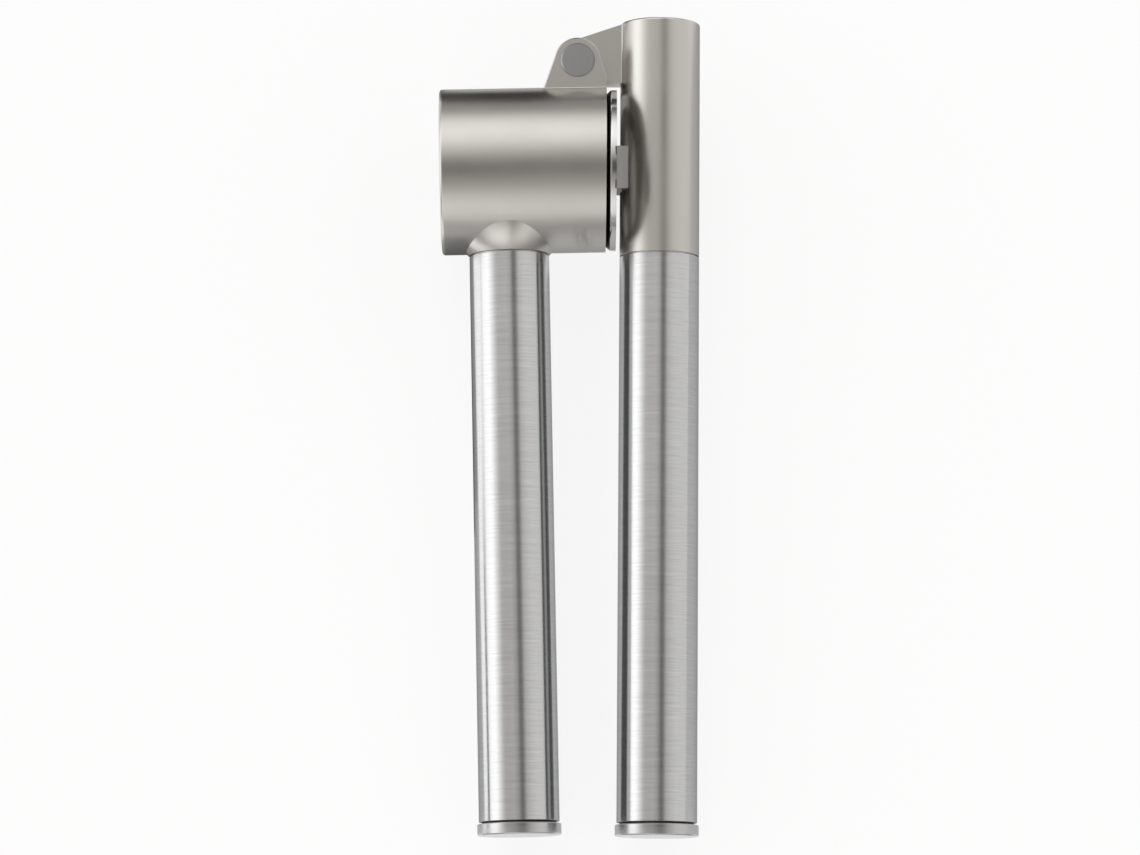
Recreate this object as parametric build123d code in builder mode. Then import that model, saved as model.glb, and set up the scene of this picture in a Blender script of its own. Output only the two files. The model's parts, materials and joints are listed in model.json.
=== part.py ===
from build123d import *
from math import acos, cos, degrees, radians, sin, sqrt, tan
import os

os.makedirs("parts", exist_ok=True)

# Garlic press lying on its side: X across the handles, Y from the handle ends to the hinge, Z up.
# Lengths are in millimetres, angles in degrees. Offsets and drops are measured from the hinge pivot.

# Handles
handle_radius = 8.8
handle_lean = 1.48
tube_length = 124.6
tube_wall = 0.8
spigot_length = 14.0
joint_chamfer = 0.1
joint_gap = 0.25
joint_gap_depth = 0.4
plug_flange_radius = 8.1
plug_flange_thickness = 0.45
plug_depth = 12.0
cap_radius = 9.15
cap_thickness = 2.5
cap_chamfer = 0.15
cap_round = 0.3
cap_socket_depth = 1.5
rod_radius = 2.5
rod_grip = 10.0

# Arm
arm_offset = 18.33
arm_rise = 9.4
arm_round = 0.5
tongue_thickness = 5.0
tongue_end_radius = 5.3
tongue_drop = 4.3
tongue_slope = 19.0
tongue_overlap = 0.6
tongue_root_fillet = 0.4

# Barrel
barrel_radius = 18.35
barrel_wall = 3.1
barrel_round = 0.7
hinge_height = 5.55
handle_offset = 15.3
outlet_reach = 14.8
outlet_wall = 1.65
throat_ledge = 2.45
mouth_offset = 6.45
boss_radius = 13.5
neck_reach = 0.9

# Hinge ears and pin
ear_thickness = 3.7
ear_end_radius = 5.1
ear_flank_angle = 18.7
ear_shoulder_drop = 3.7
ear_root_depth = 9.0
ear_root_fillet = 0.3
ear_edge_chamfer = 0.25
pin_radius = 2.5
pin_head_radius = 3.8
pin_head_height = 1.4
pin_head_proud = 0.4
pin_head_chamfer = 0.35

# Strainer
cup_depth = 18.5
cup_turn = 8.0
cup_bend_radius = 0.8
sheet = 0.6
rim_inset = 0.55
rim_lip = 1.3
tab_width = 9.1
tab_reach = 4.6
tab_overlap = 0.3
tab_sink = 0.2
tab_corner_radius = 0.25
tab_edge_slant = 12.0
disc_thickness = 0.9
strainer_hole_radius = 0.8
strainer_hole_pitch = 2.6
strainer_hole_rings = 4

# Plunger
plunger_thickness = 4.0
plunger_round = 2.5
plunger_pin_offset = 2.0
plunger_pin_radius = 1.6
cheek_thickness = 2.8
cheek_root_height = 15.0
lug_end_radius = 3.6
lug_root_height = 14.0

# Clearances
running_clearance = 0.05
seat_clearance = 0.03
side_clearance = 0.2
swing_clearance = 0.45
cup_clearance = 0.25
flare_clearance = 0.2
disc_clearance = 0.2
rim_gap = 0.85
plunger_gap = 0.9
plunger_side_gap = 1.3

# Sizes that follow from those above
lean = radians(handle_lean)
flank = radians(ear_flank_angle)
slope = radians(tongue_slope)
spigot_radius = handle_radius - tube_wall - running_clearance
barrel_drop = barrel_radius + hinge_height
neck_drop = barrel_radius + neck_reach
boss_drop = neck_drop - joint_gap - sqrt(boss_radius**2 - handle_radius**2)
seat_ring_radius = handle_radius - joint_gap_depth
arm_drop = barrel_drop + neck_drop
rod_hole_radius = rod_radius + seat_clearance
tongue_half = tongue_thickness / 2
ear_inner = tongue_half + side_clearance
ear_outer = ear_inner + ear_thickness
seat_radius = barrel_radius - barrel_wall
cup_radius = seat_radius - cup_clearance
throat_radius = seat_radius - throat_ledge
outlet_radius = barrel_radius - outlet_wall
rim_radius = barrel_radius - rim_inset
plunger_radius = cup_radius - sheet - plunger_side_gap
rim_end = arm_offset - handle_radius - rim_gap - mouth_offset
flare_end = rim_end - rim_lip
flare_start = flare_end - (rim_radius - cup_radius)
seat_flare_start = flare_start + cup_clearance - flare_clearance * sqrt(2)
disc_floor = sheet - cup_depth
plunger_face = disc_floor + disc_thickness + plunger_gap
pin_bore_depth = pin_head_height - pin_head_proud
bore_drop = barrel_drop - (handle_offset + mouth_offset - cup_depth / 2) * tan(lean)

# The press stands on the barrel's flank, with its box centred on the origin
mid_height = barrel_radius
reach_right = arm_offset + cap_radius
reach_left = (
    handle_offset
    + (outlet_reach - barrel_round) * cos(lean)
    + (barrel_radius - barrel_round) * sin(lean)
    + barrel_round
)
handle_length = tube_length + plug_flange_thickness + cap_thickness
reach_down = max(
    arm_drop + handle_length,
    barrel_drop + (neck_drop + handle_length) * cos(lean) + (cap_radius - cap_round) * sin(lean),
)
pivot_x = (reach_left - reach_right) / 2
pivot_y = (reach_down - arm_rise) / 2

# Planes through the middle of the press, each with its own natural origin
hinge = Plane((pivot_x, pivot_y, mid_height))
arm = Plane((pivot_x + arm_offset, pivot_y, mid_height))
bore = Plane((pivot_x + mouth_offset, pivot_y - bore_drop, mid_height))
barrel = Plane(
    (pivot_x - handle_offset, pivot_y - barrel_drop, mid_height),
    x_dir=(cos(lean), sin(lean), 0),
    z_dir=(0, 0, 1),
)
arm_handle = Plane(arm.from_local_coords((0, -arm_drop, 0)))
chamber_handle = Plane(barrel.from_local_coords((0, -neck_drop, 0)), x_dir=barrel.x_dir, z_dir=barrel.z_dir)
mouth = Plane(bore.origin, x_dir=(0, 1, 0), z_dir=(-1, 0, 0))
plunger_pivot = Plane((pivot_x + plunger_pin_offset, pivot_y - bore_drop, mid_height))
front_ear = hinge.offset(ear_outer)
back_ear = Plane(hinge.offset(-ear_outer).origin, x_dir=(1, 0, 0), z_dir=(0, 0, -1))


def long_axis(plane):
    """Axis of a handle or an arm, along its plane's Y."""
    return Axis(plane.origin, plane.y_dir)


def cross_axis(plane):
    """Axis of the barrel or its bore, along its plane's X."""
    return Axis(plane.origin, plane.x_dir)


def spigot_end(handle):
    """Plane on the free end of a spigot, facing out of it."""
    return Plane(handle.from_local_coords((0, -spigot_length, 0)), z_dir=-handle.y_dir)


# Barrel casting
with BuildPart() as chamber_body:
    with BuildSketch(barrel):
        with Locations((-outlet_reach, 0)):
            Rectangle(
                outlet_reach + handle_offset + mouth_offset + barrel_radius,
                barrel_radius,
                align=(Align.MIN, Align.MIN),
            )
    revolve(axis=cross_axis(barrel))
    split(bisect_by=mouth, keep=Keep.TOP)
    fillet(chamber_body.edges().filter_by(GeomType.CIRCLE), barrel_round)

    # Ball boss that carries the handle, its spigot, and a fine groove round the ring the tube seats on
    with BuildSketch(barrel) as boss_profile:
        with Locations((0, -boss_drop)):
            Circle(boss_radius)
        with Locations((0, joint_gap - neck_drop)):
            Rectangle(boss_radius, 2 * boss_radius, align=(Align.MIN, Align.MIN), mode=Mode.INTERSECT)
        chamfer(boss_profile.vertices().group_by(Axis.Y)[0].sort_by(Axis.X)[-1], joint_chamfer)
        with Locations((0, -neck_drop)):
            Rectangle(seat_ring_radius, boss_radius, align=(Align.MIN, Align.MIN))
            Rectangle(spigot_radius, spigot_length, align=(Align.MIN, Align.MAX))
    revolve(axis=long_axis(barrel))

    # Hinge ears, level with the mouth, with a hollow round at their roots
    left_touch = Vector(-cos(flank), sin(flank)) * ear_end_radius
    left_foot = left_touch - Vector(tan(flank), 1) * (left_touch.Y + ear_root_depth)
    shoulder = Vector(mouth_offset, -ear_shoulder_drop)
    right_touch = shoulder.rotate(Axis.Z, degrees(acos(ear_end_radius / shoulder.length)))
    right_touch = right_touch.normalized() * ear_end_radius
    for side in (1, -1):
        with BuildSketch(hinge.offset(side * ear_inner)):
            with BuildLine():
                Polyline(
                    left_touch,
                    left_foot,
                    (mouth_offset, -ear_root_depth),
                    shoulder,
                    right_touch,
                    close=True,
                )
            make_face()
            Circle(ear_end_radius)
        extrude(amount=side * ear_thickness)
        roots = chamber_body.edges(Select.NEW).filter_by(GeomType.LINE)
        fillet(roots.sort_by(Axis.Z, reverse=side < 0)[-1], ear_root_fillet)
        ear_face = chamber_body.faces().filter_by(Axis.Z).sort_by(Axis.Z, reverse=side > 0)[0]
        ear_rim_start = pivot_y - ear_end_radius / 2
        ear_rim = ear_face.edges().filter_by_position(Axis.Y, ear_rim_start, pivot_y + arm_rise)
        chamfer(ear_rim, ear_edge_chamfer)

    # Seat of the strainer cup
    with BuildSketch(bore):
        with BuildLine():
            Polyline(
                (-cup_depth, 0),
                (-cup_depth, seat_radius),
                (seat_flare_start, seat_radius),
                (seat_flare_start + rim_radius, seat_radius + rim_radius),
                (seat_flare_start + rim_radius, 0),
                close=True,
            )
        make_face()
    revolve(axis=cross_axis(bore), mode=Mode.SUBTRACT)

    # Outlet, widening from the throat behind the strainer
    with BuildSketch(barrel):
        with BuildLine():
            Polyline(
                (-outlet_reach, 0),
                (-outlet_reach, outlet_radius),
                (handle_offset + mouth_offset - cup_depth - sheet, throat_radius),
                (handle_offset + mouth_offset - cup_depth + sheet, throat_radius),
                (handle_offset + mouth_offset - cup_depth + sheet, 0),
                close=True,
            )
        make_face()
    revolve(axis=cross_axis(barrel), mode=Mode.SUBTRACT)

    # Room for the tongue between the ears
    with BuildSketch(hinge):
        Circle(tongue_end_radius + swing_clearance)
        with Locations((0, -tongue_drop - swing_clearance)):
            Rectangle(2 * mouth_offset, 2 * tongue_drop, align=(Align.MIN, Align.MIN))
    extrude(amount=ear_inner, both=True, mode=Mode.SUBTRACT)

    with Locations(front_ear, back_ear):
        CounterBoreHole(
            radius=pin_radius + seat_clearance,
            counter_bore_radius=pin_head_radius + seat_clearance,
            counter_bore_depth=pin_bore_depth,
            depth=ear_thickness,
        )
    with Locations(spigot_end(chamber_handle)):
        Hole(radius=rod_hole_radius, depth=rod_grip)

# Arm casting
with BuildPart() as arm_body:
    with BuildSketch(arm) as arm_profile:
        with Locations((0, arm_rise)):
            Rectangle(handle_radius, arm_rise + arm_drop - joint_gap, align=(Align.MIN, Align.MAX))
        chamfer(arm_profile.vertices().group_by(Axis.X)[-1].sort_by(Axis.Y)[0], joint_chamfer)
        fillet(arm_profile.vertices().group_by(Axis.Y)[-1].sort_by(Axis.X)[-1], arm_round)
        with Locations((0, -arm_drop)):
            Rectangle(seat_ring_radius, arm_drop, align=(Align.MIN, Align.MIN))
            Rectangle(spigot_radius, spigot_length, align=(Align.MIN, Align.MAX))
    revolve(axis=long_axis(arm))

    # Hinge tongue, its upper edge rising from the hinge to the top of the arm
    with BuildSketch(hinge):
        Circle(tongue_end_radius)
        tongue_root = arm_offset - handle_radius + tongue_overlap
        touch_x = -tongue_end_radius * sin(slope)
        touch_y = tongue_end_radius * cos(slope)
        root_y = touch_y + (tongue_root - touch_x) * tan(slope)
        with BuildLine():
            Polyline(
                (touch_x, touch_y),
                (tongue_root, root_y),
                (arm_offset, root_y),
                (arm_offset, -tongue_drop),
                (0, -tongue_drop),
                close=True,
            )
        make_face()
    extrude(amount=tongue_half, both=True)
    tongue_roots = arm_body.edges(Select.NEW).filter_by(Axis.Y).group_by(Axis.X)[-1]
    fillet(tongue_roots, tongue_root_fillet)

    # Lug that carries the plunger
    with BuildSketch(plunger_pivot):
        Circle(lug_end_radius)
        with BuildLine():
            Polyline(
                (0, lug_end_radius),
                (0, -lug_end_radius),
                (arm_offset - plunger_pin_offset, -lug_root_height / 2),
                (arm_offset - plunger_pin_offset, lug_root_height / 2),
                close=True,
            )
        make_face()
    extrude(amount=tongue_half, both=True)

    with Locations(hinge.offset(tongue_half)):
        Hole(radius=pin_radius + running_clearance, depth=tongue_thickness)
    with Locations(plunger_pivot.offset(tongue_half)):
        Hole(radius=plunger_pin_radius + running_clearance, depth=tongue_thickness)
    with Locations(spigot_end(arm_handle)):
        Hole(radius=rod_hole_radius, depth=rod_grip)

# Hinge pin: its head lies in the front ear, its tail reaches the face of the back ear
with BuildPart() as hinge_pin:
    with BuildSketch(front_ear.offset(pin_head_proud)):
        Circle(pin_head_radius)
    extrude(amount=-pin_head_height)
    chamfer(hinge_pin.faces().sort_by(Axis.Z)[-1].edges(), pin_head_chamfer)
    with BuildSketch(front_ear):
        Circle(pin_radius)
    extrude(amount=-2 * ear_outer - pin_head_proud)

# Collar pressed on the tail of the pin
with BuildPart() as hinge_pin_collar:
    with BuildSketch(back_ear.offset(pin_head_proud)):
        Circle(pin_head_radius)
        Circle(pin_radius + seat_clearance, mode=Mode.SUBTRACT)
    extrude(amount=-pin_head_height)
    chamfer(hinge_pin_collar.faces().sort_by(Axis.Z)[0].outer_wire().edges(), pin_head_chamfer)

# Strainer cup: one bent sheet turned round the bore, with two pull tabs on its rim
with BuildPart() as strainer_cup:
    with BuildSketch(bore):
        with BuildLine():
            FilletPolyline(
                (-cup_depth, throat_radius),
                (-cup_depth, cup_radius),
                (flare_start, cup_radius),
                (flare_end, rim_radius),
                (rim_end, rim_radius),
                radius=cup_bend_radius,
            )
            offset(amount=sheet, side=Side.RIGHT)
        make_face()
    revolve(axis=cross_axis(bore))
    for facing in (1, -1):
        tab_up = Vector(0, -sin(radians(cup_turn)), cos(radians(cup_turn))) * facing
        tab = Plane(bore.origin, x_dir=(1, 0, 0), z_dir=tab_up)
        with BuildSketch(tab.offset(rim_radius - tab_sink)) as tab_outline:
            with Locations((rim_end - tab_overlap, 0)):
                Rectangle(tab_reach - rim_end + tab_overlap, tab_width, align=(Align.MIN, Align.CENTER))
            fillet(tab_outline.vertices().group_by(Axis.X)[-1], tab_corner_radius)
        extrude(amount=-sheet, taper=-tab_edge_slant)

# Perforated floor of the cup
with BuildPart() as strainer_disc:
    with BuildSketch(Plane(bore.from_local_coords((disc_floor, 0, 0)), x_dir=(0, 1, 0), z_dir=(1, 0, 0))):
        Circle(cup_radius - sheet - disc_clearance)
        Circle(strainer_hole_radius, mode=Mode.SUBTRACT)
        for ring in range(1, strainer_hole_rings + 1):
            with PolarLocations(ring * strainer_hole_pitch, 6 * ring):
                Circle(strainer_hole_radius, mode=Mode.SUBTRACT)
    extrude(amount=disc_thickness)

# Plunger: round head on a yoke that straddles the lug
with BuildPart() as plunger:
    with BuildSketch(bore) as head_profile:
        with Locations((plunger_face, 0)):
            Rectangle(plunger_thickness, plunger_radius, align=(Align.MIN, Align.MIN))
        fillet(head_profile.vertices().group_by(Axis.Y)[-1].sort_by(Axis.X)[0], plunger_round)
    revolve(axis=cross_axis(bore))
    yoke_root = mouth_offset + plunger_face + plunger_thickness / 2 - plunger_pin_offset
    for side in (1, -1):
        with BuildSketch(plunger_pivot.offset(side * ear_inner)):
            Circle(lug_end_radius)
            with BuildLine():
                Polyline(
                    (0, lug_end_radius),
                    (0, -lug_end_radius),
                    (yoke_root, -cheek_root_height / 2),
                    (yoke_root, cheek_root_height / 2),
                    close=True,
                )
            make_face()
        extrude(amount=side * cheek_thickness)
    with Locations(plunger_pivot):
        Hole(radius=plunger_pin_radius + seat_clearance)

# Pin between the plunger's cheeks
with BuildPart() as plunger_pin:
    with BuildSketch(plunger_pivot):
        Circle(plunger_pin_radius)
    extrude(amount=ear_inner + cheek_thickness, both=True)

pieces = {
    "chamber_body": chamber_body,
    "arm_body": arm_body,
    "hinge_pin": hinge_pin,
    "hinge_pin_collar": hinge_pin_collar,
    "strainer_cup": strainer_cup,
    "strainer_disc": strainer_disc,
    "plunger": plunger,
    "plunger_pin": plunger_pin,
}

# Each handle: a tube clamped between casting and end cap by a rod, with a plastic plug at its end
cap_top = -tube_length - plug_flange_thickness
rod_top = rod_grip - spigot_length
for unit, handle in (("chamber", chamber_handle), ("arm", arm_handle)):
    with BuildPart() as tube:
        with BuildSketch(handle) as tube_profile:
            with Locations((handle_radius, 0)):
                Rectangle(tube_wall, tube_length, align=(Align.MAX, Align.MAX))
            chamfer(tube_profile.vertices().group_by(Axis.X)[-1], joint_chamfer)
        revolve(axis=long_axis(handle))

    with BuildPart() as plug:
        with BuildSketch(handle):
            with Locations((rod_hole_radius, -tube_length)):
                Rectangle(spigot_radius - rod_hole_radius, plug_depth, align=(Align.MIN, Align.MIN))
                Rectangle(
                    plug_flange_radius - rod_hole_radius,
                    plug_flange_thickness,
                    align=(Align.MIN, Align.MAX),
                )
        revolve(axis=long_axis(handle))

    with BuildPart() as cap:
        with BuildSketch(handle) as cap_profile:
            with Locations((0, cap_top)):
                Rectangle(cap_radius, cap_thickness, align=(Align.MIN, Align.MAX))
            rim = cap_profile.vertices().group_by(Axis.X)[-1].sort_by(Axis.Y)
            chamfer(rim[-1], cap_chamfer)
            fillet(cap_profile.vertices().group_by(Axis.X)[-1].sort_by(Axis.Y)[0], cap_round)
            with Locations((0, cap_top)):
                Rectangle(
                    rod_hole_radius,
                    cap_socket_depth,
                    align=(Align.MIN, Align.MAX),
                    mode=Mode.SUBTRACT,
                )
        revolve(axis=long_axis(handle))

    with BuildPart() as rod:
        with BuildSketch(handle):
            with Locations((0, rod_top)):
                Rectangle(rod_radius, rod_top - cap_top + cap_socket_depth, align=(Align.MIN, Align.MAX))
        revolve(axis=long_axis(handle))

    pieces[f"{unit}_handle_tube"] = tube
    pieces[f"{unit}_handle_plug"] = plug
    pieces[f"{unit}_handle_cap"] = cap
    pieces[f"{unit}_handle_rod"] = rod

for name, piece in pieces.items():
    piece.part.label = name
    export_step(piece.part, f"parts/{name}.step")
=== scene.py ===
import json
import math

import bmesh
import bpy
from mathutils import Euler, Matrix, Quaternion, Vector


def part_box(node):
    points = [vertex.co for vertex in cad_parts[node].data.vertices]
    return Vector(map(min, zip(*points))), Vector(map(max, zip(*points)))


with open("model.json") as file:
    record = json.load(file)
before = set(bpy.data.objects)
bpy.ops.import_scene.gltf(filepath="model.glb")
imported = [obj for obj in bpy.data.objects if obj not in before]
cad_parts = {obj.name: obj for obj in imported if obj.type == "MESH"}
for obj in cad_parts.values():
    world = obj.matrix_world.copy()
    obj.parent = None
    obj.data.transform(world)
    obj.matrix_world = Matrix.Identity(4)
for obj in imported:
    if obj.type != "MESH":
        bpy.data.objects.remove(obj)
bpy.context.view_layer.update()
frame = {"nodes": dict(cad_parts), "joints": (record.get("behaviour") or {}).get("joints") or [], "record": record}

# Places read from the frame, in metres
joint_place = {joint["name"]: Vector(joint["pos_m"]) for joint in frame["joints"]}
mid_height = joint_place["arm_swing"].z
handle_end = {mount["name"]: mount for mount in frame["record"]["mounts"]}
chamber_end = Vector(handle_end["chamber_handle_end"]["pos_m"])
chamber_axis = Vector(handle_end["chamber_handle_end"]["axis"])
handle_lean = math.atan2(chamber_axis.x, -chamber_axis.y)

# The photograph's view
photo_width = 1140
photo_scale = 4547
sensor_width = 36
lens_length = 155
view_elevation = math.radians(82.3)
view_roll = math.radians(0.4)
view_target = Vector((0.0004, -0.0003, mid_height))

# Light levels, where 1 renders as white
room_level = 0.08
overhead_level = 0.36
left_level = 1.38
right_level = 0.69
far_level = 1.10
near_level = 0.84
shadow_tint = (1.0, 0.965, 0.91, 1)

# Where each soft box starts and where it is full, in degrees
overhead_right = (20, 0)
overhead_left = (-95, -60)
left_rise = (-33, -72)
left_ends = ((55, 25), (-34, -8))
right_rise = (10, 25)
far_rise = (2, 45)
far_fall = (88, 56)
near_rise = (-18, -60)
near_fall = (-90, -72)
box_ends = ((55, 25), (-55, -25))

# Shades in the soft boxes: their angles in degrees, and the levels at those angles
lens_lean = 4
lens_span = (5, 15)
lens_levels = (0.1, 1.0)
dip_span = (-6, -20)
dip_levels = (1.0, 0.78)
ramp_span = (22, 62)
ramp_levels = (0.45, 1.05)
gap_left = (10.5, -1.5)
gap_right = (12, 26)
gap_levels = (0.25, 1.0)

# The floor: what the eye sees, and the levels of its areas to reflections
floor_radius = 12
floor_clearance = 0.0003
floor_colour = (0.95, 0.95, 0.95, 1)
floor_rough = 0.9
floor_gloss = 0.1
floor_share = 0.82
floor_glow = 1.035
floor_level = 0.98
dark_area = 0.02
shaded_area = 0.20
front_area = 0.35
half_area = 0.42
grey_area = 0.60
middle_area = 0.62
bright_area = 1.35

# Sizes of those areas, in metres
area_reach = 1.2
far_gap = 0.012
near_area_width = 0.038
corner_width = 0.11
corner_far = -0.015
shade_width = 0.010
shade_reach = 0.060
cap_clearing = 0.010

# Upright strips between the handles: shift from the middle, foot and top from the mid plane, and level
flag_shift = 0.001
flag_dark = 0.08
flag_line = 0.36
flag_edge = 0.60
flags = (
    ("left_flag_low", -flag_shift, 0.0009, 0.0037, flag_dark),
    ("left_flag_line", -flag_shift, 0.0037, 0.0055, flag_line),
    ("left_flag_high", -flag_shift, 0.0055, 0.0073, flag_dark),
    ("right_flag_low", flag_shift, -0.0045, -0.0009, flag_edge),
    ("right_flag", flag_shift, -0.0006, 0.0048, flag_dark),
    ("right_flag_high", flag_shift, 0.0049, 0.0076, flag_edge),
)

# The strainer, measured from its turning centre
rim_start = 0.0009
tab_start = 0.0022
# Bounds of the painted shade on the neck: its least radius and its least slope
neck_radius = 0.0153
neck_slope = 0.0164

# Metals reflect a little less at their grazing edges
edge_tint = (0.6, 0.6, 0.6, 1)

# Finishes: colour and how far a pattern spreads it, range of roughness, and depth of relief in metres
casting_colour = (0.64, 0.62, 0.585)
casting_spread = 0.06
casting_rough = (0.29, 0.33)
casting_relief = 0.000008
tube_colour = (0.66, 0.66, 0.665)
tube_spread = 0.19
tube_rough = (0.24, 0.27)
tube_relief = 0.0000008
cap_colour = (0.60, 0.60, 0.60)
cap_spread = 0.10
cap_rough = (0.24, 0.34)
cap_relief = 0.000008
sheet_colour = (0.66, 0.65, 0.63)
sheet_spread = 0.10
sheet_rough = (0.22, 0.10)
sheet_relief = 0.0000015
pin_colour = (0.41, 0.41, 0.41)
pin_spread = 0.08
pin_rough = (0.36, 0.44)
pin_relief = 0.000008
plug_colour = (0.016, 0.016, 0.017)
plug_spread = 0.2
plug_rough = (0.5, 0.65)
plug_relief = 0.00002
# Painted shade: a near-black colour for the strainer's neck under the rim, where the rim shades it
painted_neck_shade = (0.03, 0.028, 0.024, 1)
tube_anisotropy = 0.9
rim_fade = 0.0003
tab_fade = 0.0001
tab_dulling = 0.24
sheet_unevenness = 0.06

# Patterns: pits or lines per metre, and the part of a noise's range that is used
casting_pits = 5000.0
pin_pits = 3500.0
plug_pits = 2500.0
patches_per_metre = 90.0
tube_lines = (160.0, 3600.0, 160.0)
cap_lines = (80.0, 6000.0, 80.0)
sheet_lines = (5000.0, 120.0, 120.0)
fine_share = 0.85
coarse_scale = 0.22
pit_range = (0.3, 0.7)
band_range = (0.25, 0.75)

# Detail and roughness of the finest noises
pit_noise = (3.0, 0.6)
line_noise = (3.0, 0.65)


# Node helpers
def new_tree(name):
    """A material with an empty node tree, and its shader wired to the output."""
    material = bpy.data.materials.new(name)
    material.use_nodes = True
    tree = material.node_tree
    tree.nodes.clear()
    output = tree.nodes.new("ShaderNodeOutputMaterial")
    shader = tree.nodes.new("ShaderNodeBsdfPrincipled")
    tree.links.new(shader.outputs["BSDF"], output.inputs["Surface"])
    return material, tree, shader


def put(tree, socket, value):
    """Links a socket to another, or sets its value."""
    if isinstance(value, bpy.types.NodeSocket):
        tree.links.new(value, socket)
    else:
        socket.default_value = value


def math_node(tree, operation, *values):
    """One Math node and its output."""
    node = tree.nodes.new("ShaderNodeMath")
    node.operation = operation
    for socket, value in zip(node.inputs, values):
        put(tree, socket, value)
    return node.outputs[0]


def vector_node(tree, operation, *values):
    """One Vector Math node and its vector output."""
    node = tree.nodes.new("ShaderNodeVectorMath")
    node.operation = operation
    for socket, value in zip(node.inputs, values):
        put(tree, socket, value)
    return node.outputs["Vector"]


def map_range(tree, value, low, high, to_low=0.0, to_high=1.0):
    """A value carried from one range to another, with eased ends."""
    node = tree.nodes.new("ShaderNodeMapRange")
    node.interpolation_type = "SMOOTHSTEP"
    put(tree, node.inputs["Value"], value)
    for name, bound in zip(("From Min", "From Max", "To Min", "To Max"), (low, high, to_low, to_high)):
        node.inputs[name].default_value = bound
    return node.outputs["Result"]


def length_of(tree, first, second):
    """The length of a line with these two legs."""
    squares = [math_node(tree, "MULTIPLY", leg, leg) for leg in (first, second)]
    return math_node(tree, "SQRT", math_node(tree, "ADD", *squares))


def object_coordinates(tree, turn=0.0, centre=(0, 0, 0)):
    """Object coordinates, moved to a centre and then turned about Z."""
    coordinates = tree.nodes.new("ShaderNodeTexCoord").outputs["Object"]
    moved = vector_node(tree, "SUBTRACT", coordinates, centre)
    mapping = tree.nodes.new("ShaderNodeMapping")
    mapping.inputs["Rotation"].default_value = (0, 0, -turn)
    tree.links.new(moved, mapping.inputs["Vector"])
    return mapping.outputs["Vector"]


def place_group(tree, group, **values):
    """A node group placed in a material with its own values, and its outputs."""
    node = tree.nodes.new("ShaderNodeGroup")
    node.node_tree = group
    for name, value in values.items():
        put(tree, node.inputs[name], value)
    return node.outputs


def new_group(name, inputs, outputs):
    """An empty shader node group with named sockets, and its two ends."""
    group = bpy.data.node_groups.new(name, "ShaderNodeTree")
    for socket_name, kind, value in inputs:
        socket = group.interface.new_socket(socket_name, in_out="INPUT", socket_type=kind)
        if value is not None:
            socket.default_value = value
    for socket_name, kind in outputs:
        group.interface.new_socket(socket_name, in_out="OUTPUT", socket_type=kind)
    entry = group.nodes.new("NodeGroupInput")
    leave = group.nodes.new("NodeGroupOutput")
    return group, entry.outputs, leave.inputs


def noise(tree, vector, scale, detail=2.0, roughness=0.5):
    """A noise texture's value."""
    node = tree.nodes.new("ShaderNodeTexNoise")
    put(tree, node.inputs["Vector"], vector)
    put(tree, node.inputs["Scale"], scale)
    node.inputs["Detail"].default_value = detail
    node.inputs["Roughness"].default_value = roughness
    return node.outputs["Fac"]


# Shared effects
def make_grain():
    """Blasted grain: fine pits, and broad soft patches where the plating lies thicker."""
    group, given, result = new_group(
        "blasted_grain",
        [("Vector", "NodeSocketVector", None), ("Pits per metre", "NodeSocketFloat", casting_pits)],
        [("Pits", "NodeSocketFloat"), ("Patches", "NodeSocketFloat")],
    )
    group.links.new(noise(group, given["Vector"], given["Pits per metre"], *pit_noise), result["Pits"])
    group.links.new(noise(group, given["Vector"], patches_per_metre), result["Patches"])
    return group


def make_brush():
    """Brush lines: long thin scratches across one direction of the vector, in fine and coarse passes."""
    group, given, result = new_group(
        "brush_lines",
        [("Vector", "NodeSocketVector", None), ("Lines", "NodeSocketVector", tube_lines)],
        [("Scratches", "NodeSocketFloat"), ("Bands", "NodeSocketFloat")],
    )
    stretched = vector_node(group, "MULTIPLY", given["Vector"], given["Lines"])
    fine = noise(group, stretched, 1.0, *line_noise)
    coarse = noise(group, stretched, coarse_scale)
    fine_part = math_node(group, "MULTIPLY", fine, fine_share)
    coarse_part = math_node(group, "MULTIPLY", coarse, 1 - fine_share)
    both = math_node(group, "ADD", fine_part, coarse_part)
    group.links.new(both, result["Scratches"])
    group.links.new(coarse, result["Bands"])
    return group


grain = make_grain()
brush = make_brush()


def varied_colour(tree, shader, colour, value, spread):
    """Base colour that a pattern makes a little lighter and darker."""
    mix = tree.nodes.new("ShaderNodeMix")
    mix.data_type = "RGBA"
    tree.links.new(value, mix.inputs["Factor"])
    darker = [channel * (1 - spread) for channel in colour]
    lighter = [min(1.0, channel * (1 + spread)) for channel in colour]
    mix.inputs["A"].default_value = (*darker, 1)
    mix.inputs["B"].default_value = (*lighter, 1)
    tree.links.new(mix.outputs["Result"], shader.inputs["Base Color"])
    return mix.outputs["Result"]


def varied_roughness(tree, shader, value, span, levels):
    """Roughness that follows a pattern, from the first level to the second over a span of its values."""
    tree.links.new(map_range(tree, value, *span, *levels), shader.inputs["Roughness"])


def bump_from(tree, shader, height, distance):
    """Surface relief from a height in the pattern."""
    bump = tree.nodes.new("ShaderNodeBump")
    bump.inputs["Distance"].default_value = distance
    bump.inputs["Strength"].default_value = 1.0
    tree.links.new(height, bump.inputs["Height"])
    tree.links.new(bump.outputs["Normal"], shader.inputs["Normal"])


# Finishes
def satin_casting():
    """Satin nickel on a zinc casting: warm grey, softly blasted."""
    material, tree, shader = new_tree("satin_nickel_casting")
    shader.inputs["Metallic"].default_value = 1.0
    shader.inputs["Specular Tint"].default_value = edge_tint
    pattern = place_group(tree, grain, Vector=object_coordinates(tree))
    varied_colour(tree, shader, casting_colour, pattern["Pits"], casting_spread)
    varied_roughness(tree, shader, pattern["Patches"], pit_range, casting_rough)
    bump_from(tree, shader, pattern["Pits"], casting_relief)
    return material


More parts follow.
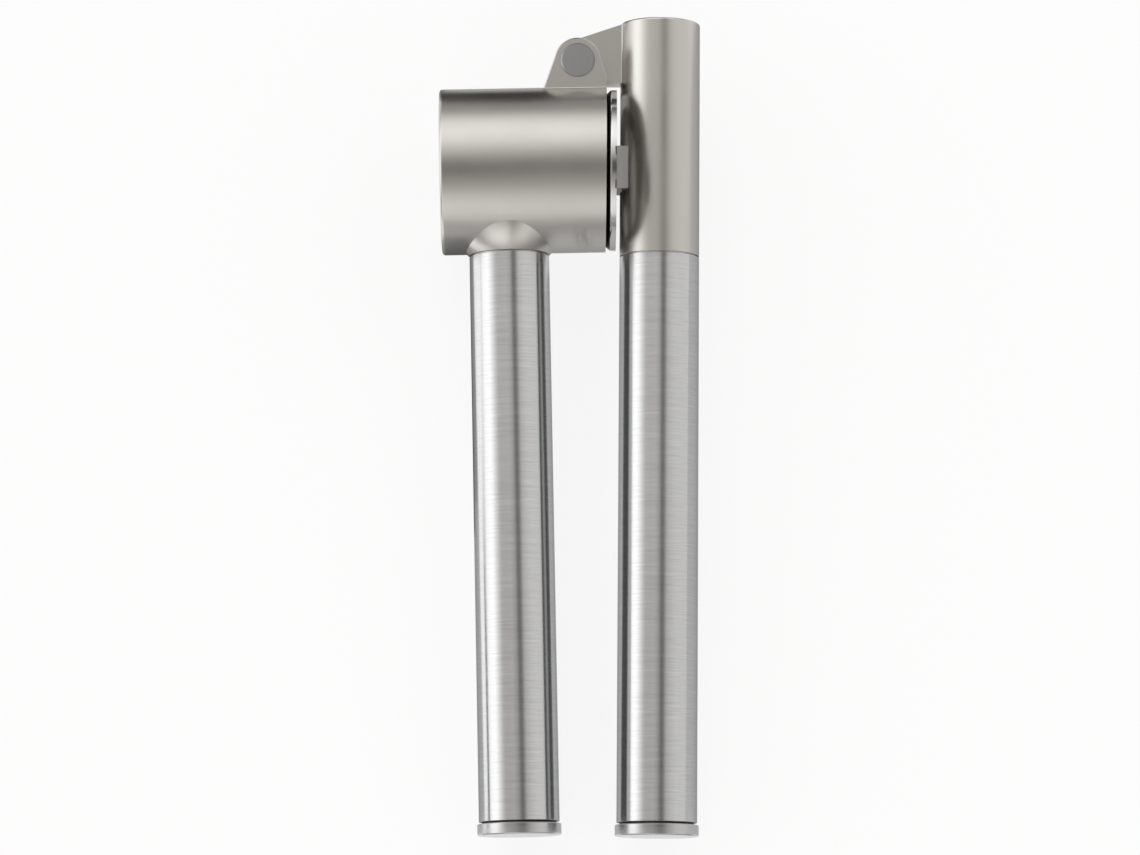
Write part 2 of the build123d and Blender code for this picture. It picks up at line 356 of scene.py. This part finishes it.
def brushed_tube(name, turn):
    """Stainless tube, brushed round its girth; turn is the handle's lean."""
    material, tree, shader = new_tree(name)
    shader.inputs["Metallic"].default_value = 1.0
    shader.inputs["Specular Tint"].default_value = edge_tint
    shader.inputs["Anisotropic"].default_value = tube_anisotropy
    pattern = place_group(tree, brush, Vector=object_coordinates(tree, turn))
    varied_colour(tree, shader, tube_colour, pattern["Scratches"], tube_spread)
    varied_roughness(tree, shader, pattern["Bands"], band_range, tube_rough)
    bump_from(tree, shader, pattern["Scratches"], tube_relief)
    length = tree.nodes.new("ShaderNodeVectorTransform")
    length.vector_type = "VECTOR"
    length.convert_from = "OBJECT"
    length.convert_to = "WORLD"
    length.inputs["Vector"].default_value = (math.sin(-turn), math.cos(turn), 0)
    tree.links.new(length.outputs["Vector"], shader.inputs["Tangent"])
    return material


def turned_cap(name, turn, centre):
    """Stainless end cap, turned: rings on the face, lines round the side."""
    material, tree, shader = new_tree(name)
    shader.inputs["Metallic"].default_value = 1.0
    place = object_coordinates(tree, turn, centre)
    parts = tree.nodes.new("ShaderNodeSeparateXYZ")
    tree.links.new(place, parts.inputs["Vector"])
    radius = length_of(tree, parts.outputs["X"], parts.outputs["Z"])
    along = math_node(tree, "ADD", radius, parts.outputs["Y"])
    rings = tree.nodes.new("ShaderNodeCombineXYZ")
    tree.links.new(parts.outputs["X"], rings.inputs["X"])
    tree.links.new(along, rings.inputs["Y"])
    tree.links.new(parts.outputs["Z"], rings.inputs["Z"])
    pattern = place_group(tree, brush, Vector=rings.outputs["Vector"], Lines=cap_lines)
    varied_colour(tree, shader, cap_colour, pattern["Scratches"], cap_spread)
    varied_roughness(tree, shader, pattern["Bands"], band_range, cap_rough)
    bump_from(tree, shader, pattern["Scratches"], cap_relief)
    return material


def pressed_sheet():
    """Pressed stainless sheet: polished rim, brushed tabs, and painted shade, a near-black colour, on the neck
    under the rim.
    """
    material, tree, shader = new_tree("pressed_strainer_sheet")
    shader.inputs["Metallic"].default_value = 1.0
    shader.inputs["Specular Tint"].default_value = edge_tint
    place = object_coordinates(tree, 0.0, joint_place["strainer_turn"])
    parts = tree.nodes.new("ShaderNodeSeparateXYZ")
    tree.links.new(place, parts.inputs["Vector"])
    radius = length_of(tree, parts.outputs["Y"], parts.outputs["Z"])
    pattern = place_group(tree, brush, Vector=place, Lines=sheet_lines)
    steel = varied_colour(tree, shader, sheet_colour, pattern["Scratches"], sheet_spread)
    # Painted shade: the neck under the rim and outside the cup is coloured near black
    under_rim = math_node(tree, "LESS_THAN", parts.outputs["X"], rim_start)
    beyond_cup = math_node(tree, "GREATER_THAN", radius, neck_radius)
    slope = math_node(tree, "SUBTRACT", radius, parts.outputs["X"])
    outside = math_node(tree, "GREATER_THAN", slope, neck_slope)
    painted_shade_mask = math_node(tree, "MULTIPLY", under_rim, math_node(tree, "MULTIPLY", beyond_cup, outside))
    shade = tree.nodes.new("ShaderNodeMix")
    shade.data_type = "RGBA"
    tree.links.new(painted_shade_mask, shade.inputs["Factor"])
    tree.links.new(steel, shade.inputs["A"])
    shade.inputs["B"].default_value = painted_neck_shade
    tree.links.new(shade.outputs["Result"], shader.inputs["Base Color"])
    rim = map_range(tree, parts.outputs["X"], rim_start - rim_fade, rim_start, *sheet_rough)
    tab = map_range(tree, parts.outputs["X"], tab_start - tab_fade, tab_start + tab_fade, 0.0, tab_dulling)
    uneven = math_node(tree, "MULTIPLY", pattern["Bands"], sheet_unevenness)
    dulled = math_node(tree, "ADD", math_node(tree, "ADD", rim, tab), uneven)
    tree.links.new(dulled, shader.inputs["Roughness"])
    bump_from(tree, shader, pattern["Scratches"], sheet_relief)
    return material


def plain_steel():
    """Plain steel of the pins and rods, a little darker than the plating."""
    material, tree, shader = new_tree("plain_pin_steel")
    shader.inputs["Metallic"].default_value = 1.0
    shader.inputs["Specular Tint"].default_value = edge_tint
    pattern = place_group(tree, grain, Vector=object_coordinates(tree), **{"Pits per metre": pin_pits})
    varied_colour(tree, shader, pin_colour, pattern["Pits"], pin_spread)
    varied_roughness(tree, shader, pattern["Patches"], pit_range, pin_rough)
    bump_from(tree, shader, pattern["Pits"], pin_relief)
    return material


def black_plastic():
    """Matte black moulded plastic of the plugs."""
    material, tree, shader = new_tree("black_plug_plastic")
    pattern = place_group(tree, grain, Vector=object_coordinates(tree), **{"Pits per metre": plug_pits})
    varied_colour(tree, shader, plug_colour, pattern["Patches"], plug_spread)
    varied_roughness(tree, shader, pattern["Pits"], pit_range, plug_rough)
    bump_from(tree, shader, pattern["Pits"], plug_relief)
    return material


def finish_node(name, material):
    """Gives a carried-over node its finish."""
    mesh = frame["nodes"][name].data
    mesh.materials.clear()
    mesh.materials.append(material)


casting = satin_casting()
for name in ("chamber_body", "arm_body", "plunger"):
    finish_node(name, casting)
sheet = pressed_sheet()
for name in ("strainer_cup", "strainer_disc"):
    finish_node(name, sheet)
steel = plain_steel()
for name in ("hinge_pin", "hinge_pin_collar", "plunger_pin", "chamber_handle_rod", "arm_handle_rod"):
    finish_node(name, steel)
plastic = black_plastic()
arm_end = Vector(handle_end["arm_handle_end"]["pos_m"])
for unit, turn, end in (("chamber", handle_lean, chamber_end), ("arm", 0.0, arm_end)):
    finish_node(unit + "_handle_tube", brushed_tube(unit + "_brushed_tube", turn))
    finish_node(unit + "_handle_cap", turned_cap(unit + "_turned_cap", turn, end))
    finish_node(unit + "_handle_plug", plastic)


# Studio
barrel_low, barrel_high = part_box("chamber_body")
arm_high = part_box("arm_body")[1]
arm_cap_low, arm_cap_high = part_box("arm_handle_cap")
chamber_cap_low, chamber_cap_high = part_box("chamber_handle_cap")
tube_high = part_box("arm_handle_tube")[1]
floor_touch = Vector((0, joint_place["strainer_turn"].y, barrel_low.z - floor_clearance))
floor_rise = math.atan2(arm_cap_low.z - barrel_low.z, floor_touch.y - arm_cap_low.y)


def stage_piece(name, shape, material):
    """A piece of the studio, from its finished shape."""
    mesh = bpy.data.meshes.new(name)
    shape.to_mesh(mesh)
    shape.free()
    mesh.materials.append(material)
    piece = bpy.data.objects.new(name, mesh)
    bpy.context.scene.collection.objects.link(piece)
    return piece


def lay_floor():
    """A wide pale floor, leaned so that the barrel and the two caps rest on it."""
    shape = bmesh.new()
    bmesh.ops.create_circle(shape, cap_ends=True, segments=64, radius=floor_radius)
    bmesh.ops.translate(shape, verts=shape.verts, vec=-floor_touch * Vector((1, 1, 0)))
    bmesh.ops.rotate(shape, verts=shape.verts, matrix=Euler((-floor_rise, 0, 0)).to_matrix())
    bmesh.ops.translate(shape, verts=shape.verts, vec=floor_touch)
    stage_piece("floor", shape, white_floor())


def floor_area(tree, place, left, right, near, far, level):
    """How far one area of the floor lies above or below its level to reflections."""
    change = level - floor_level
    for axis, low, high in (("X", left, right), ("Y", near, far)):
        for test, edge in (("GREATER_THAN", low), ("LESS_THAN", high)):
            change = math_node(tree, "MULTIPLY", math_node(tree, test, place[axis], edge), change)
    return change


def reflected_floor(tree):
    """The floor's level to reflections: darker and brighter areas that shape the edges of the metal."""
    parts = tree.nodes.new("ShaderNodeSeparateXYZ")
    tree.links.new(object_coordinates(tree), parts.inputs["Vector"])
    near = arm_cap_low.y
    front = near - cap_clearing
    far_edge = arm_high.y + far_gap
    left_edge = (chamber_cap_low.x + chamber_cap_high.x) / 2
    right_edge = (arm_cap_low.x + arm_cap_high.x) / 2
    left_end = left_edge - area_reach
    left_step = left_edge - near_area_width
    corner_edge = left_edge - corner_width
    shade_left = chamber_cap_low.x - shade_width
    shade_near = tube_high.y - shade_reach
    areas = [
        (2 * barrel_low.x, 2 * barrel_high.x, far_edge, far_edge + area_reach, dark_area),
        (left_edge, right_edge, near, tube_high.y, middle_area),
        (shade_left, left_edge, shade_near, tube_high.y + shade_width, shaded_area),
        (shade_left, left_edge, near, shade_near, grey_area),
        (left_end, right_edge + area_reach, front - area_reach, front, front_area),
        (left_step, shade_left, near, corner_far, grey_area),
        (left_step, shade_left, corner_far, far_edge, half_area),
        (left_end, left_step, corner_far, far_edge, bright_area),
        (corner_edge, left_step, near, corner_far, bright_area),
        (left_end, corner_edge, front, corner_far, dark_area),
        (right_edge, right_edge + area_reach, near, far_edge, grey_area),
    ]
    total = floor_level
    for area in areas:
        total = math_node(tree, "ADD", floor_area(tree, parts.outputs, *area), total)
    return total


def white_floor():
    """A matte white floor that glows to the eye and to reflections, and keeps a soft shadow."""
    material, tree, shader = new_tree("white_floor")
    shader.inputs["Base Color"].default_value = floor_colour
    shader.inputs["Roughness"].default_value = floor_rough
    shader.inputs["Specular IOR Level"].default_value = floor_gloss
    path = tree.nodes.new("ShaderNodeLightPath").outputs
    seen = math_node(tree, "MAXIMUM", path["Is Camera Ray"], path["Is Transmission Ray"])
    share = math_node(tree, "MAXIMUM", math_node(tree, "MULTIPLY", seen, floor_share), path["Is Glossy Ray"])
    difference = math_node(tree, "SUBTRACT", reflected_floor(tree), floor_glow)
    level = math_node(tree, "ADD", math_node(tree, "MULTIPLY", path["Is Glossy Ray"], difference), floor_glow)
    glow = tree.nodes.new("ShaderNodeEmission")
    tree.links.new(level, glow.inputs["Strength"])
    mix = tree.nodes.new("ShaderNodeMixShader")
    tree.links.new(share, mix.inputs["Fac"])
    tree.links.new(shader.outputs["BSDF"], mix.inputs[1])
    tree.links.new(glow.outputs["Emission"], mix.inputs[2])
    tree.links.new(mix.outputs["Shader"], tree.nodes["Material Output"].inputs["Surface"])
    return material


def strip_glow(name, level):
    """An even glow of one level."""
    material = bpy.data.materials.new(name)
    material.use_nodes = True
    tree = material.node_tree
    tree.nodes.clear()
    output = tree.nodes.new("ShaderNodeOutputMaterial")
    glow = tree.nodes.new("ShaderNodeEmission")
    glow.inputs["Strength"].default_value = level
    tree.links.new(glow.outputs["Emission"], output.inputs["Surface"])
    return material


def hide_strip(strip):
    """Leaves a strip to reflections alone."""
    strip.visible_camera = False
    strip.visible_diffuse = False
    strip.visible_transmission = False
    strip.visible_shadow = False


def stand_flag(name, shift, low, high, level):
    """An upright strip between the handles, which draws a line on the side that faces it."""
    near = Vector(((chamber_cap_high.x + arm_cap_low.x) / 2 + shift, arm_cap_high.y, mid_height))
    length = tube_high.y - near.y
    shape = bmesh.new()
    bmesh.ops.create_grid(shape, x_segments=1, y_segments=1, size=0.5)
    bmesh.ops.rotate(shape, verts=shape.verts, matrix=Euler((0, math.pi / 2, 0)).to_matrix())
    bmesh.ops.scale(shape, verts=shape.verts, vec=(1, length, high - low))
    bmesh.ops.translate(shape, verts=shape.verts, vec=(0, length / 2, (low + high) / 2))
    bmesh.ops.rotate(shape, verts=shape.verts, matrix=Euler((0, 0, handle_lean / 2)).to_matrix())
    bmesh.ops.translate(shape, verts=shape.verts, vec=near)
    hide_strip(stage_piece(name, shape, strip_glow(name, level)))


def stand_flags():
    """Dark strips with lighter ones beside them, one set for each handle."""
    for flag in flags:
        stand_flag(*flag)


def light_studio():
    """Soft boxes on four sides and a diffuser overhead, drawn on the world by direction."""
    world = bpy.data.worlds.new("studio")
    bpy.context.scene.world = world
    world.use_nodes = True
    tree = world.node_tree
    background = tree.nodes["Background"]
    direction = tree.nodes.new("ShaderNodeSeparateXYZ")
    tree.links.new(tree.nodes.new("ShaderNodeTexCoord").outputs["Generated"], direction.inputs["Vector"])
    across, along, up = (direction.outputs[axis] for axis in "XYZ")
    side = math_node(tree, "ARCTAN2", across, up)
    fore = math_node(tree, "ARCTAN2", along, up)

    def band(angle, span, levels=(0.0, 1.0)):
        return map_range(tree, angle, *(math.radians(degrees) for degrees in span), *levels)

    def light(level, *masks):
        total = level
        for mask in masks:
            total = math_node(tree, "MULTIPLY", total, mask)
        return total

    swing = math_node(tree, "ARCSINE", across)
    tilt = math_node(tree, "ARCSINE", along)
    from_lens = length_of(tree, side, math_node(tree, "ADD", fore, math.radians(lens_lean)))
    lens_shade = band(from_lens, lens_span, lens_levels)
    left_dip = band(side, dip_span, dip_levels)
    right_ramp = band(side, ramp_span, ramp_levels)
    across_ends = [band(swing, end) for end in box_ends]
    along_ends = [band(tilt, end) for end in box_ends]
    lights = [
        light(overhead_level, band(side, overhead_right), band(side, overhead_left), left_dip, lens_shade),
        light(left_level, band(side, left_rise), *(band(tilt, end) for end in left_ends)),
        light(right_level, band(side, right_rise), right_ramp, *along_ends),
        light(far_level, band(fore, far_rise), band(fore, far_fall), *across_ends),
        light(near_level, band(fore, near_rise), band(fore, near_fall), *across_ends),
    ]
    total = lights[0]
    for each in lights[1:]:
        total = math_node(tree, "ADD", total, each)
    gap = math_node(tree, "MAXIMUM", *(band(side, span, gap_levels) for span in (gap_left, gap_right)))
    total = math_node(tree, "MULTIPLY", total, gap)
    tint = tree.nodes.new("ShaderNodeMix")
    tint.data_type = "RGBA"
    tree.links.new(total, tint.inputs["Factor"])
    tint.inputs["A"].default_value = shadow_tint
    tint.inputs["B"].default_value = (1, 1, 1, 1)
    tree.links.new(tint.outputs["Result"], background.inputs["Color"])
    tree.links.new(math_node(tree, "ADD", total, room_level), background.inputs["Strength"])


def aim_camera():
    """The photograph's camera: nearly overhead, from the handle ends' side."""
    lens = bpy.data.cameras.new("photo_camera")
    lens.lens = lens_length
    lens.sensor_width = sensor_width
    camera = bpy.data.objects.new("photo_camera", lens)
    bpy.context.scene.collection.objects.link(camera)
    back = Vector((0, -math.cos(view_elevation), math.sin(view_elevation)))
    distance = lens_length / sensor_width * photo_width / photo_scale
    camera.rotation_mode = "QUATERNION"
    camera.location = view_target + back * distance
    camera.rotation_quaternion = (-back).to_track_quat("-Z", "Y") @ Quaternion((0, 0, 1), view_roll)
    bpy.context.scene.camera = camera


lay_floor()
stand_flags()
light_studio()
aim_camera()
bpy.context.scene.view_settings.view_transform = "Standard"
